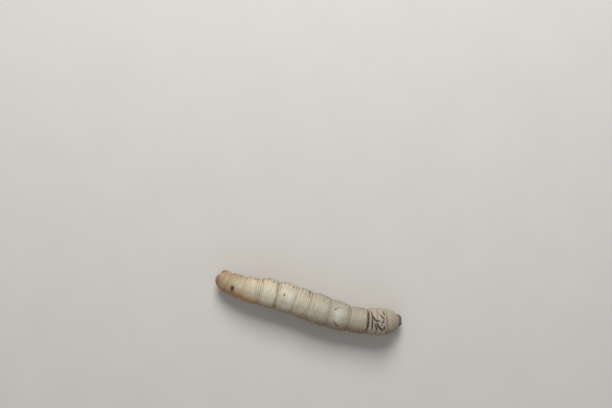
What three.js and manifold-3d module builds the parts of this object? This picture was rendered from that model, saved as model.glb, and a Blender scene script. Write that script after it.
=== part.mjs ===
// A full-grown silkworm, life size, in millimetres: +X runs towards the head, +Y to its left, +Z up.
// It stands on its soles at z = 0, bent in a shallow S, with the head turned down.
import * as THREE from "three";
import { mergeVertices } from "three/addons/utils/BufferGeometryUtils.js";
import Module from "manifold-3d";

const wasm = await Module();
wasm.setup();

// Space left between neighbouring pieces, and between the small pieces of the head.
const GAP = 0.3;
const HEAD_GAP = 0.14;

// The tail's tip, where the line through the middle of the body starts.
// It puts the middle of the animal's box over the origin.
const TAIL_TIP = new THREE.Vector3(-28.98, 2.03, 3.05);

// From tail to head: each ring of the body with its length, half width, and the way its middle line points.
// Heading turns to the left, pitch lifts, and roll turns the back to the left. All angles are in degrees.
const SEGMENTS = [
  { name: "abdomen_10", length: 2.7, halfWidth: 2.8, heading: -5, pitch: 19, roll: 0 },
  { name: "abdomen_09", length: 1.6, halfWidth: 3.1, heading: -6, pitch: 15, roll: 0 },
  { name: "abdomen_08", length: 4.55, halfWidth: 3.25, heading: -6, pitch: 10, roll: 0 },
  { name: "abdomen_07", length: 5.0, halfWidth: 3.75, heading: 0, pitch: 5, roll: -2 },
  { name: "abdomen_06", length: 5.5, halfWidth: 4.15, heading: 1, pitch: 0, roll: -5 },
  { name: "abdomen_05", length: 5.5, halfWidth: 4.3, heading: -6, pitch: 0, roll: -7 },
  { name: "abdomen_04", length: 4.8, halfWidth: 4.35, heading: -9, pitch: 0, roll: -3 },
  { name: "abdomen_03", length: 6.4, halfWidth: 4.45, heading: -8, pitch: 0, roll: 3 },
  { name: "abdomen_02", length: 6.4, halfWidth: 4.15, heading: -4, pitch: 2, roll: 9 },
  { name: "abdomen_01", length: 5.15, halfWidth: 3.75, heading: 4, pitch: 2, roll: 12 },
  { name: "thorax_3", length: 2.65, halfWidth: 4.05, heading: 8, pitch: -1, roll: 13 },
  { name: "thorax_2", length: 2.6, halfWidth: 4.15, heading: 9, pitch: -9, roll: 13 },
  { name: "thorax_1", length: 4.3, halfWidth: 3.85, heading: 10, pitch: -26, roll: 13 },
];

// Heights of the section above and below the middle line, as shares of its half width.
const BACK_RISE = 0.97;
const BELLY_DROP = 0.86;

// How far from the tail's tip the body reaches its full width, and the front ring narrows to the neck.
const TAIL_ROUNDING = 3.5;
const NECK_HALF_WIDTH = 1.95;

// Surface relief: depths in millimetres and widths along the body.
const CREASE_DEPTH = 0.4;
const CREASE_WIDTH = 0.5;
const SIDE_FOLD = 0.22;
const SIDE_FOLD_ANGLE = 108;
const SWELL = 0.1;
const FURROW_DEPTH = 0.1;
const FURROWS_AT = [0.38, 0.66];
const THORAX_FOLD_DEPTH = 0.3;
const THORAX_FOLDS_AT = [0.32, 0.66];

// How finely each ring is faceted round the body and along it.
const COLUMNS = 24;
const ABDOMEN_ROWS = [0, 0.09, 0.24, 0.38, 0.52, 0.66, 0.79, 0.91, 1];
const THORAX_ROWS = [0, 0.12, 0.22, 0.32, 0.48, 0.66, 0.78, 0.9, 1];
const FRONT_ROWS = [0, 0.13, 0.3, 0.48, 0.65, 0.8, 0.91, 1];
const TAIL_ROWS = [0, 0.04, 0.12, 0.25, 0.42, 0.62, 0.82, 1];
const SHORT_ROWS = [0, 0.15, 0.4, 0.65, 0.87, 1];

const radians = THREE.MathUtils.degToRad;
const last = SEGMENTS.length - 1;
SEGMENTS.forEach((segment, i) => {
  segment.start = i ? SEGMENTS[i - 1].start + SEGMENTS[i - 1].length : 0;
  segment.end = segment.start + segment.length;
  segment.middle = (segment.start + segment.end) / 2;
});
const BODY_LENGTH = SEGMENTS[last].end;
const segmentNamed = (name) => SEGMENTS.find((segment) => segment.name === name);

// A smooth curve through one value per segment, read at a distance from the tail's tip.
function along(key, distance) {
  let i = 0;
  while (i < last - 1 && distance > SEGMENTS[i + 1].middle) i++;
  const from = SEGMENTS[i];
  const to = SEGMENTS[i + 1];
  const t = THREE.MathUtils.clamp((distance - from.middle) / (to.middle - from.middle), 0, 1);
  const before = SEGMENTS[Math.max(i - 1, 0)][key];
  const after = SEGMENTS[Math.min(i + 2, last)][key];
  const rise = to[key] - from[key];
  const slopeIn = (to[key] - before) / 2;
  const slopeOut = (after - from[key]) / 2;
  const cubic = slopeIn + slopeOut - 2 * rise;
  return from[key] + t * (slopeIn + t * (rise - slopeIn - cubic + t * cubic));
}

// The body's own directions at a distance from the tail: forward along it, to its left, and out of its back.
function directionsAt(distance, rollShare = 1) {
  const heading = radians(along("heading", distance));
  const pitch = radians(along("pitch", distance));
  const roll = radians(along("roll", distance)) * rollShare;
  const forward = new THREE.Vector3(
    Math.cos(pitch) * Math.cos(heading),
    Math.cos(pitch) * Math.sin(heading),
    Math.sin(pitch),
  );
  const level = new THREE.Vector3(-Math.sin(heading), Math.cos(heading), 0);
  const upright = new THREE.Vector3().crossVectors(forward, level);
  const back = upright.clone().multiplyScalar(Math.cos(roll)).addScaledVector(level, Math.sin(roll));
  const left = level.clone().multiplyScalar(Math.cos(roll)).addScaledVector(upright, -Math.sin(roll));
  return { forward, left, back };
}

// The middle line, summed in short steps from the tail's tip.
const STEP = 0.1;
const MIDDLE_LINE = [TAIL_TIP.clone()];
for (let walked = 0; walked < BODY_LENGTH + 1; walked += STEP) {
  const ahead = directionsAt(walked + STEP / 2).forward;
  MIDDLE_LINE.push(MIDDLE_LINE.at(-1).clone().addScaledVector(ahead, STEP));
}
function middleAt(distance) {
  const steps = THREE.MathUtils.clamp(distance / STEP, 0, MIDDLE_LINE.length - 1.001);
  const i = Math.floor(steps);
  return MIDDLE_LINE[i].clone().lerp(MIDDLE_LINE[i + 1], steps - i);
}

const hump = (offset, width) => Math.exp(-((offset / width) ** 2));

// Half width of the body, which closes round the tail and narrows to the neck.
function halfWidthAt(distance) {
  let width = along("halfWidth", distance);
  if (distance < TAIL_ROUNDING) width *= Math.sqrt(Math.max(0, 1 - (1 - distance / TAIL_ROUNDING) ** 2));
  const front = SEGMENTS[last];
  const intoFront = (distance - front.start) / front.length;
  if (intoFront > 0) width -= (front.halfWidth - NECK_HALF_WIDTH) * intoFront ** 2.4;
  return width;
}

// Height of the skin above its plain oval, at an angle from the back in degrees, alike on both sides.
function reliefAt(distance, angle) {
  const side = Math.abs(angle);
  const onSide = hump(side - SIDE_FOLD_ANGLE, 30);
  const onBack = THREE.MathUtils.smoothstep(110 - side, 0, 50);
  let height = 0;
  SEGMENTS.forEach((segment, i) => {
    if (i) height -= CREASE_DEPTH * hump(distance - segment.start, CREASE_WIDTH);
    const share = (distance - segment.start) / segment.length;
    if (share < 0 || share > 1) return;
    const abdominal = segment.name.startsWith("abdomen") && segment.length > 4;
    if (abdominal) {
      height += SIDE_FOLD * onSide * Math.sin(Math.PI * share ** 0.6);
      height += SWELL * (1 - (2 * share - 1) ** 2);
    }
    const folded = segment.name === "thorax_3" || segment.name === "thorax_2";
    if (!abdominal && !folded) return;
    const furrows = abdominal ? FURROWS_AT : THORAX_FOLDS_AT;
    const depth = abdominal ? FURROW_DEPTH : THORAX_FOLD_DEPTH * onBack;
    furrows.forEach((at) => {
      height -= depth * hump((share - at) * segment.length, abdominal ? 0.45 : 0.26);
    });
  });
  return height;
}

// A point of the skin, moved out by a margin where a keep-out shape is wanted.
function skinAt(distance, angle, margin = 0) {
  const { left, back } = directionsAt(distance);
  const width = halfWidthAt(distance);
  const turn = radians(angle);
  const rise = Math.cos(turn) > 0 ? BACK_RISE : BELLY_DROP;
  const fade = Math.min(1, width / 2.5);
  const out = (width > 0.01 ? reliefAt(distance, angle) * fade : 0) + margin;
  const across = (width + out) * Math.sin(turn);
  const up = (width * rise + out) * Math.cos(turn);
  return middleAt(distance).addScaledVector(left, across).addScaledVector(back, up);
}

// Turns a closed geometry into a solid for joining and cutting, and back.
function solidOf(geometry) {
  const bare = geometry.clone();
  bare.deleteAttribute("normal");
  bare.deleteAttribute("uv");
  const merged = mergeVertices(bare, 1e-4);
  return new wasm.Manifold(
    new wasm.Mesh({
      numProp: 3,
      vertProperties: new Float32Array(merged.attributes.position.array),
      triVerts: new Uint32Array(merged.index.array),
    }),
  );
}

function geometryOf(solid) {
  const mesh = solid.getMesh();
  const geometry = new THREE.BufferGeometry();
  geometry.setAttribute("position", new THREE.BufferAttribute(new Float32Array(mesh.vertProperties), 3));
  geometry.setIndex(new THREE.BufferAttribute(new Uint32Array(mesh.triVerts), 1));
  geometry.computeVertexNormals();
  return geometry;
}

// Only the largest closed surface of a piece is kept after cutting.
function largest(solid) {
  return solid.decompose().reduce((best, piece) => (piece.volume() > best.volume() ? piece : best));
}

// A cylinder's own wall, bent to any round shape: place(share along it, angle in degrees, share of radius).
function shapedCylinder(columns, rows, closesAtStart, closesAtEnd, place) {
  const geometry = new THREE.CylinderGeometry(
    closesAtEnd ? 0 : 1,
    closesAtStart ? 0 : 1,
    1,
    columns,
    rows.length - 1,
  );
  const position = geometry.attributes.position;
  const point = new THREE.Vector3();
  for (let i = 0; i < position.count; i++) {
    point.fromBufferAttribute(position, i);
    const row = Math.round((point.y + 0.5) * (rows.length - 1));
    const centre = Math.hypot(point.x, point.z) < 1e-6;
    const angle = -THREE.MathUtils.radToDeg(Math.atan2(point.x, point.z));
    const moved = place(rows[row], centre ? 0 : angle, centre ? 0 : 1);
    position.setXYZ(i, moved.x, moved.y, moved.z);
  }
  return geometry;
}

// A length of the body between two distances from the tail, with flat ends.
function bodyLength(from, to, rows, margin = 0) {
  return shapedCylinder(COLUMNS, rows, from <= 0, false, (share, angle, onWall) => {
    const distance = THREE.MathUtils.lerp(from, to, share);
    return onWall ? skinAt(distance, angle, margin) : middleAt(distance);
  });
}

// The body near one segment, fattened by the gap, which legs and horn are cut back from.
function keepOutNear(segment) {
  const rows = 14;
  const shares = Array.from({ length: rows + 1 }, (_, i) => i / rows);
  const from = Math.max(0.02, segment.start - 2.5);
  const to = Math.min(BODY_LENGTH, segment.end + 2.5);
  return solidOf(bodyLength(from, to, shares, GAP));
}

// A round limb along a curve, with its radii at equal steps. A last radius of 0 closes it in a point.
function limb(points, radii, columns, rowCount) {
  const curve = new THREE.CatmullRomCurve3(points);
  const frames = curve.computeFrenetFrames(rowCount, false);
  const rows = Array.from({ length: rowCount + 1 }, (_, i) => i / rowCount);
  const radiusAt = (share) => {
    const steps = share * (radii.length - 1);
    const i = Math.min(Math.floor(steps), radii.length - 2);
    return THREE.MathUtils.lerp(radii[i], radii[i + 1], steps - i);
  };
  const pointed = radii.at(-1) === 0;
  return shapedCylinder(columns, rows, false, pointed, (share, angle, onWall) => {
    const at = curve.getPointAt(share);
    const row = Math.round(share * rowCount);
    const turn = radians(angle);
    const radius = onWall * radiusAt(share);
    return at
      .addScaledVector(frames.normals[row], radius * Math.cos(turn))
      .addScaledVector(frames.binormals[row], -radius * Math.sin(turn));
  });
}

// An oval ball, with its size given as three half lengths.
function oval(centre, halfLengths, columns = 14, rows = 9) {
  return new THREE.SphereGeometry(1, columns, rows)
    .scale(...halfLengths)
    .translate(...centre);
}

const floorSolid = solidOf(new THREE.BoxGeometry(100, 60, 10).translate(0, 0, -5));

const skinPaint = new THREE.MeshStandardMaterial({ name: "skin", color: 0xd6c9a6, roughness: 0.55 });
const prolegPaint = new THREE.MeshStandardMaterial({ name: "proleg", color: 0xc08a50, roughness: 0.55 });
const hornPaint = new THREE.MeshStandardMaterial({ name: "horn", color: 0x9a5f2c, roughness: 0.45 });
const legPaint = new THREE.MeshStandardMaterial({ name: "leg", color: 0xb07a3e, roughness: 0.35 });
const headPaint = new THREE.MeshStandardMaterial({ name: "head_shell", color: 0x8c745a, roughness: 0.35 });
const jawPaint = new THREE.MeshStandardMaterial({ name: "jaw", color: 0x3a2114, roughness: 0.3 });
const eyePaint = new THREE.MeshStandardMaterial({ name: "eye", color: 0x120c0a, roughness: 0.12 });

const silkworm = new THREE.Group();

// A piece's mesh turns about its own root, so its geometry is measured from there.
function addPiece(name, solid, paint, root, group = silkworm) {
  const geometry = geometryOf(largest(solid)).translate(-root.x, -root.y, -root.z);
  const mesh = new THREE.Mesh(geometry, paint);
  mesh.name = name;
  mesh.position.copy(root);
  group.add(mesh);
  return mesh;
}

// Breathing holes: an oval button on each side of the front ring and of the first eight of the abdomen.
const SPIRACLE_ANGLE = 76;
const SPIRACLE_AT = 0.7;
const SPIRACLE_HALF = { along: 0.28, round: 0.42, out: 0.2 };
function spiracle(segment, side) {
  const distance = segment.start + SPIRACLE_AT * segment.length;
  const angle = SPIRACLE_ANGLE * side;
  const { forward, left, back } = directionsAt(distance);
  const turn = radians(angle);
  const out = left.clone().multiplyScalar(Math.sin(turn)).addScaledVector(back, Math.cos(turn));
  const round = new THREE.Vector3().crossVectors(out, forward);
  const centre = skinAt(distance, angle, -0.06);
  const lie = new THREE.Matrix4().makeBasis(forward, round, out).setPosition(centre);
  const button = oval([0, 0, 0], [SPIRACLE_HALF.along, SPIRACLE_HALF.round, SPIRACLE_HALF.out], 8, 3);
  return solidOf(button.applyMatrix4(lie));
}

// The rings of the body, parted by the gap.
const rowsOf = (segment) => {
  if (segment.name === "abdomen_10") return TAIL_ROWS;
  if (segment.name === "abdomen_09") return SHORT_ROWS;
  if (segment.name === "thorax_1") return FRONT_ROWS;
  return segment.name.startsWith("thorax") ? THORAX_ROWS : ABDOMEN_ROWS;
};
const isAbdominal = (segment) => segment.name.startsWith("abdomen");
const breathes = (segment) => segment.name === "thorax_1" || (isAbdominal(segment) && segment.length > 4);
SEGMENTS.forEach((segment, i) => {
  const from = i ? segment.start + GAP / 2 : 0;
  const to = i < last ? segment.end - GAP / 2 : segment.end;
  let ring = solidOf(bodyLength(from, to, rowsOf(segment)));
  if (breathes(segment)) {
    ring = ring.add(spiracle(segment, 1)).add(spiracle(segment, -1));
  }
  addPiece(segment.name, ring, skinPaint, middleAt(segment.middle));
});

// The fleshy false legs under the third to sixth rings of the abdomen, each on a flat round sole.
const PROLEG = { angle: 142, at: 0.5, footOut: 2.45, footBack: 0.2, rootRadius: 1.65 };
const PROLEG_SWELL = [1.0, 1.02, 0.94, 0.78, 0.66, 0.6, 0.66, 0.64];
function fleshyLeg(name, distance, angle, foot, bow, radii, keepOut) {
  const { left } = directionsAt(distance, 0);
  const root = skinAt(distance, angle, -1.2);
  const knee = root.clone().lerp(foot, 0.55).addScaledVector(left, bow);
  const leg = solidOf(limb([root, knee, foot], radii, 14, 7));
  addPiece(name, leg.subtract(keepOut).subtract(floorSolid), prolegPaint, root);
}
for (const number of ["03", "04", "05", "06"]) {
  const segment = segmentNamed("abdomen_" + number);
  const keepOut = keepOutNear(segment);
  const radii = PROLEG_SWELL.map((share) => share * PROLEG.rootRadius);
  for (const [sideName, side] of [["left", 1], ["right", -1]]) {
    const distance = segment.start + PROLEG.at * segment.length;
    const { forward, left } = directionsAt(distance, 0);
    const foot = middleAt(distance).addScaledVector(left, PROLEG.footOut * side);
    foot.addScaledVector(forward, -PROLEG.footBack).setZ(-0.4);
    const angle = PROLEG.angle * side - along("roll", distance) / 2;
    fleshyLeg(`proleg_${number}_${sideName}`, distance, angle, foot, 0.2 * side, radii, keepOut);
  }
}

// The claspers under the tail: broader false legs that reach down, out and back.
const CLASPER = { angle: 138, at: 2.7, footOut: 1.6, footBack: 0.8 };
const CLASPER_RADII = [1.45, 1.5, 1.4, 1.2, 1.02, 0.96, 1.0];
const tailKeepOut = keepOutNear(segmentNamed("abdomen_09"));
for (const [sideName, side] of [["left", 1], ["right", -1]]) {
  const { forward, left } = directionsAt(CLASPER.at, 0);
  const foot = middleAt(CLASPER.at).addScaledVector(left, CLASPER.footOut * side);
  foot.addScaledVector(forward, -CLASPER.footBack).setZ(-0.4);
  const angle = CLASPER.angle * side;
  fleshyLeg(`clasper_${sideName}`, CLASPER.at, angle, foot, 0.2 * side, CLASPER_RADII, tailKeepOut);
}

// The horn on the back of the eighth ring, standing nearly upright and bent a little to the right.
// lean bends its tip back, so a value below 0 brings it forward.
const HORN = { at: 0.45, length: 2.2, lean: -0.15, aside: 0.25 };
const HORN_RADII = [0.62, 0.55, 0.46, 0.38, 0.31, 0.24, 0];
const hornSegment = segmentNamed("abdomen_08");
{
  const distance = hornSegment.start + HORN.at * hornSegment.length;
  const { forward, left, back } = directionsAt(distance);
  const root = skinAt(distance, 0, -0.7);
  const rising = (share, curl) =>
    root
      .clone()
      .addScaledVector(back, share * (HORN.length + 0.7))
      .addScaledVector(forward, -HORN.lean * curl)
      .addScaledVector(left, -HORN.aside * curl);
  const horn = solidOf(limb([rising(0, 0), rising(0.5, 0.9), rising(1, 2.6)], HORN_RADII, 10, 9));
  addPiece("horn", horn.subtract(keepOutNear(hornSegment)), hornPaint, root);
}

// The six jointed true legs. The body leans to the left here, so the right feet hang just clear of the floor.
const LEGS = [
  { ring: "thorax_3", angle: 140, at: 0.5, footOut: 1.85, footAhead: 0.75, lifted: 0.75 },
  { ring: "thorax_2", angle: 142, at: 0.5, footOut: 1.6, footAhead: 0.85, lifted: 0.7 },
  { ring: "thorax_1", angle: 146, at: 0.4, footOut: 1.3, footAhead: 1.0, lifted: 0.6 },
];
const LEG_RADII = [0.95, 0.93, 0.82, 0.7, 0.55, 0.6, 0.44, 0.46, 0.3, 0.2];
LEGS.forEach(({ ring, angle, at, footOut, footAhead, lifted }) => {
  const segment = segmentNamed(ring);
  const keepOut = keepOutNear(segment);
  for (const [sideName, side] of [["left", 1], ["right", -1]]) {
    const distance = segment.start + at * segment.length;
    const { forward, left } = directionsAt(distance, 0);
    const root = skinAt(distance, angle * side, -0.7);
    const foot = middleAt(distance).addScaledVector(left, footOut * side);
    foot.addScaledVector(forward, footAhead).setZ(side > 0 ? -0.12 : lifted);
    const knee = root.clone().lerp(foot, 0.55).addScaledVector(left, 0.5 * side);
    knee.addScaledVector(forward, 0.3);
    const leg = solidOf(limb([root, knee, foot], LEG_RADII, 8, 9));
    addPiece(`leg_${ring.at(-1)}_${sideName}`, leg.subtract(keepOut).subtract(floorSolid), legPaint, root);
  }
});

// The head hangs from the front ring. In its own frame +X points out of the face and +Z to its crown.
// faceDown turns the face further down than the neck points, in degrees.
const HEAD = { ahead: 0.72, drop: 0.42, faceDown: -2 };
const LOBE = { out: 0.6, half: [1.3, 1.22, 1.72] };
const headGroup = new THREE.Group();
const neck = directionsAt(BODY_LENGTH);
headGroup.position
  .copy(middleAt(BODY_LENGTH))
  .addScaledVector(neck.forward, HEAD.ahead)
  .addScaledVector(neck.back, -HEAD.drop);
headGroup.quaternion
  .setFromRotationMatrix(new THREE.Matrix4().makeBasis(neck.forward, neck.left, neck.back))
  .multiply(new THREE.Quaternion().setFromAxisAngle(new THREE.Vector3(0, 1, 0), radians(HEAD.faceDown)));
headGroup.updateMatrix();
silkworm.add(headGroup);

// What lies behind the front ring's flat end, in the head's own frame.
const toHead = headGroup.matrix.clone().invert();
const behindNeck = new THREE.Matrix4()
  .makeBasis(neck.forward, neck.left, neck.back)
  .setPosition(middleAt(BODY_LENGTH).addScaledVector(neck.forward, GAP));
const backCut = solidOf(
  new THREE.BoxGeometry(10, 20, 20).translate(-5, 0, 0).applyMatrix4(behindNeck).applyMatrix4(toHead),
);

const grown = (half, margin) => half.map((length) => length + margin);
const lobes = (margin) =>
  solidOf(oval([0, LOBE.out, 0], grown(LOBE.half, margin), 16, 10)).add(
    solidOf(oval([0, -LOBE.out, 0], grown(LOBE.half, margin), 16, 10)),
  );

// The shield between the lobes, with the upper lip below it.
const SHIELD = { centre: [0.72, 0, -0.85], half: [0.62, 0.8, 0.75] };
const LIP = { centre: [0.92, 0, -1.62], half: [0.42, 0.62, 0.34], notch: 0.2 };
const shield = (margin) => solidOf(oval(SHIELD.centre, grown(SHIELD.half, margin), 12, 8));
const headShell = (margin) => lobes(margin).add(shield(margin));
const lip = (margin) => {
  const { centre, half, notch } = LIP;
  const halfLobe = grown([half[0], half[1] - notch, half[2]], margin);
  const lobe = (side) => solidOf(oval([centre[0], side * notch, centre[2]], halfLobe, 10, 6));
  return lobe(1).add(lobe(-1));
};

// Six lenses on each side of the head, four in a bow and two below, sunk in a shallow pit.
const EYE = { turn: 62, drop: -24, spread: 0.36, lens: 0.19, plug: 0.5 };
function eyeFrame(side) {
  const out = new THREE.Vector3(
    Math.cos(radians(EYE.turn)) * Math.cos(radians(EYE.drop)),
    side * Math.sin(radians(EYE.turn)) * Math.cos(radians(EYE.drop)),
    Math.sin(radians(EYE.drop)),
  );
  const crown = new THREE.Vector3(0, 0, 1).addScaledVector(out, -out.z).normalize();
  const round = new THREE.Vector3().crossVectors(crown, out);
  // The lobe's own surface in that direction.
  const [hx, hy, hz] = LOBE.half;
  const reach = 1 / Math.hypot(out.x / hx, out.y / hy, out.z / hz);
  const centre = out.clone().multiplyScalar(reach).add(new THREE.Vector3(0, side * LOBE.out, 0));
  return new THREE.Matrix4().makeBasis(round, crown, out).setPosition(centre);
}
const eyePlug = (side, margin) =>
  solidOf(
    new THREE.CylinderGeometry(EYE.plug + margin, EYE.plug + margin, 0.5 + 2 * margin, 10)
      .rotateX(Math.PI / 2)
      .translate(0, 0, -0.22)
      .applyMatrix4(eyeFrame(side)),
  );
function eye(side) {
  let cluster = eyePlug(side, 0);
  for (let i = 0; i < 6; i++) {
    const turn = radians(i < 4 ? -20 + i * 50 : 205 + (i - 4) * 70);
    const place = [EYE.spread * Math.cos(turn) * side, EYE.spread * Math.sin(turn), 0.02];
    const lens = oval(place, [EYE.lens, EYE.lens, EYE.lens * 0.8], 6, 4);
    cluster = cluster.add(solidOf(lens.applyMatrix4(eyeFrame(side))));
  }
  return cluster;
}

// Jaws, lower lip with its feelers and silk spout, and the two feelers beside the jaws.
const JAW = { centre: [0.74, 0.62, -1.72], half: [0.48, 0.44, 0.56] };
const jaw = (side, margin) =>
  solidOf(oval([JAW.centre[0], side * JAW.centre[1], JAW.centre[2]], grown(JAW.half, margin), 10, 6));
const LOWER_LIP = { centre: [-0.1, 0, -1.62], half: [0.6, 0.82, 0.5] };
const lowerLip = () => {
  const { centre, half } = LOWER_LIP;
  const down = (x, y, length, radius) =>
    solidOf(
      new THREE.CylinderGeometry(radius, radius * 0.4, length, 6)
        .rotateX(Math.PI / 2)
        .translate(x, y, centre[2] - half[2] - length / 2 + 0.3),
    );
  return solidOf(oval(centre, half, 10, 6))
    .add(down(centre[0] + 0.1, 0, 0.62, 0.17))
    .add(down(centre[0] + 0.15, 0.48, 0.5, 0.22))
    .add(down(centre[0] + 0.15, -0.48, 0.5, 0.22));
};
const FEELER = { root: [0.8, 1.2, -1.02], tip: [1.42, 1.78, -1.5] };
const FEELER_RADII = [0.3, 0.3, 0.25, 0.26, 0.2, 0.2, 0.13];
const feeler = (side, margin) => {
  const root = new THREE.Vector3(FEELER.root[0], side * FEELER.root[1], FEELER.root[2]);
  const tip = new THREE.Vector3(FEELER.tip[0], side * FEELER.tip[1], FEELER.tip[2]);
  const radii = FEELER_RADII.map((radius) => radius + margin);
  return solidOf(limb([root, root.clone().lerp(tip, 0.5), tip], radii, 7, 6));
};

const centreOf = (solid) => {
  const { min, max } = solid.boundingBox();
  return new THREE.Vector3((min[0] + max[0]) / 2, (min[1] + max[1]) / 2, (min[2] + max[2]) / 2);
};
function addToHead(name, solid, paint) {
  const cut = largest(solid.subtract(backCut));
  addPiece(name, cut, paint, centreOf(cut), headGroup);
}
addToHead("head", headShell(0).subtract(eyePlug(1, HEAD_GAP)).subtract(eyePlug(-1, HEAD_GAP)), headPaint);
addToHead("lip", lip(0).subtract(headShell(HEAD_GAP)), headPaint);
const wholeShell = headShell(HEAD_GAP).add(lip(HEAD_GAP));
for (const [sideName, side] of [["left", 1], ["right", -1]]) {
  const feelerCut = feeler(side, HEAD_GAP);
  addToHead(`eye_${sideName}`, eye(side).subtract(feelerCut), eyePaint);
  addToHead(`feeler_${sideName}`, feeler(side, 0).subtract(wholeShell), headPaint);
  addToHead(`jaw_${sideName}`, jaw(side, 0).subtract(wholeShell).subtract(feelerCut), jawPaint);
}
const bothJaws = jaw(1, HEAD_GAP).add(jaw(-1, HEAD_GAP));
addToHead("lower_lip", lowerLip().subtract(wholeShell).subtract(bothJaws), legPaint);

export default silkworm;
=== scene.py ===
import math

import bmesh
import bpy
import numpy as np
from mathutils import Matrix, Vector, noise


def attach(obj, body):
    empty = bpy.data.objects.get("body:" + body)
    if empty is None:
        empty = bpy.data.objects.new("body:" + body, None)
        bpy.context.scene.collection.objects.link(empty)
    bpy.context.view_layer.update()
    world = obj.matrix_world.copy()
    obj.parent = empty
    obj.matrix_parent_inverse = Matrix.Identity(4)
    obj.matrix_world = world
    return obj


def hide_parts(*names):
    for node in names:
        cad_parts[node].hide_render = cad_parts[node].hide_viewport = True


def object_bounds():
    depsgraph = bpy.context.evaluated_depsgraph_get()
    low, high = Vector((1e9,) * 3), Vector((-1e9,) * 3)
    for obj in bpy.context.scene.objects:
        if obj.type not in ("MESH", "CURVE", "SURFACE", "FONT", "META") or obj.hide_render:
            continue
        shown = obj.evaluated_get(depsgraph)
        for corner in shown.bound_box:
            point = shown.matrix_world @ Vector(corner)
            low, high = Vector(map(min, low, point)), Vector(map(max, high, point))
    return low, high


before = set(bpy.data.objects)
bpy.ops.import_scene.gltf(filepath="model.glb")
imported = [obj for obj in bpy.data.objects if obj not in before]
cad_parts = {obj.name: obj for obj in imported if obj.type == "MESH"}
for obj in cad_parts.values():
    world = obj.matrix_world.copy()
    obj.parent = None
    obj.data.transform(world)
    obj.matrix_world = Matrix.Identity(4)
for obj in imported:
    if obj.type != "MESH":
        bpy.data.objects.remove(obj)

cad_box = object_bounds()

MM = 0.001
FRAME_WIDTH = 612
FRAME_MIDDLE = (306.0, 204.0)
LENS_MM = 50.0
SENSOR_MM = 36.0
SIGHT_DISTANCE = 257 * MM
SIGHT_TILT = math.radians(14.0)
SLOPE = math.radians(11.9)
MIDDLE_PIXEL = (308.4, 305.2)

# The body, in millimetres and degrees, from tail to head: length, half width, heading, pitch and roll.
TAIL_TIP = (-28.98, 2.03, 3.05)
RINGS = {
    "abdomen_10": (2.7, 2.8, -5, 19, 0),
    "abdomen_09": (1.6, 3.1, -6, 15, 0),
    "abdomen_08": (4.55, 3.25, -6, 10, 0),
    "abdomen_07": (5.0, 3.75, 0, 5, -2),
    "abdomen_06": (5.5, 4.15, 1, 0, -5),
    "abdomen_05": (5.5, 4.3, -6, 0, -7),
    "abdomen_04": (4.8, 4.35, -9, 0, -3),
    "abdomen_03": (6.4, 4.45, -8, 0, 3),
    "abdomen_02": (6.4, 4.15, -4, 2, 9),
    "abdomen_01": (5.15, 3.75, 4, 2, 12),
    "thorax_3": (2.65, 4.05, 8, -1, 13),
    "thorax_2": (2.6, 4.15, 9, -9, 13),
    "thorax_1": (4.3, 3.85, 10, -26, 13),
}
HALF_WIDTH, HEADING, PITCH, ROLL = 1, 2, 3, 4
BACK_RISE = 0.97
BELLY_DROP = 0.86
TAIL_ROUNDING = 3.5
NECK_HALF_WIDTH = 1.95

NAMES = list(RINGS)
TABLE = np.array([RINGS[name] for name in NAMES], dtype=float)
LENGTHS = TABLE[:, 0]
STARTS = np.concatenate([[0.0], np.cumsum(LENGTHS)[:-1]])
MIDDLES = STARTS + LENGTHS / 2
BODY_LENGTH = float(LENGTHS.sum())
LAST = len(NAMES) - 1


def along(column, distance):
    """A smooth curve through one value per ring, read at distances from the tail's tip."""
    values = TABLE[:, column]
    i = np.clip(np.searchsorted(MIDDLES, distance) - 1, 0, LAST - 1)
    t = np.clip((distance - MIDDLES[i]) / (MIDDLES[i + 1] - MIDDLES[i]), 0, 1)
    rise = values[i + 1] - values[i]
    slope_in = (values[i + 1] - values[np.maximum(i - 1, 0)]) / 2
    slope_out = (values[np.minimum(i + 2, LAST)] - values[i]) / 2
    cubic = slope_in + slope_out - 2 * rise
    return values[i] + t * (slope_in + t * (rise - slope_in - cubic + t * cubic))


def directions(distance, level=False):
    """Forward along the body, to its left, and out of its back."""
    distance = np.asarray(distance, dtype=float)
    heading, pitch, roll = (np.radians(along(column, distance)) for column in (HEADING, PITCH, ROLL))
    if level:
        roll = roll * 0
    forward = np.stack([np.cos(pitch) * np.cos(heading), np.cos(pitch) * np.sin(heading), np.sin(pitch)], -1)
    side = np.stack([-np.sin(heading), np.cos(heading), heading * 0], -1)
    upright = np.cross(forward, side)
    back = upright * np.cos(roll)[..., None] + side * np.sin(roll)[..., None]
    left = side * np.cos(roll)[..., None] - upright * np.sin(roll)[..., None]
    return forward, left, back


LINE_STEP = 0.1
WALK = np.arange(0, BODY_LENGTH + 1, LINE_STEP)
MIDDLE_LINE = np.vstack(
    [TAIL_TIP, TAIL_TIP + np.cumsum(directions(WALK + LINE_STEP / 2)[0] * LINE_STEP, axis=0)]
)


def middle_at(distance):
    steps = np.clip(np.asarray(distance, dtype=float) / LINE_STEP, 0, len(MIDDLE_LINE) - 1.001)
    i = steps.astype(int)
    return MIDDLE_LINE[i] + (MIDDLE_LINE[i + 1] - MIDDLE_LINE[i]) * (steps - i)[..., None]


def half_width(distance):
    """Half width of the body, which closes round the tail and narrows to the neck."""
    width = along(HALF_WIDTH, distance)
    rounding = np.sqrt(np.clip(1 - (1 - distance / TAIL_ROUNDING) ** 2, 0, 1))
    width = np.where(distance < TAIL_ROUNDING, width * rounding, width)
    into_front = np.clip((distance - STARTS[LAST]) / LENGTHS[LAST], 0, 1)
    return width - (TABLE[LAST, HALF_WIDTH] - NECK_HALF_WIDTH) * into_front**2.4


def hump(offset, width):
    return np.exp(-((offset / width) ** 2))


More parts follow.
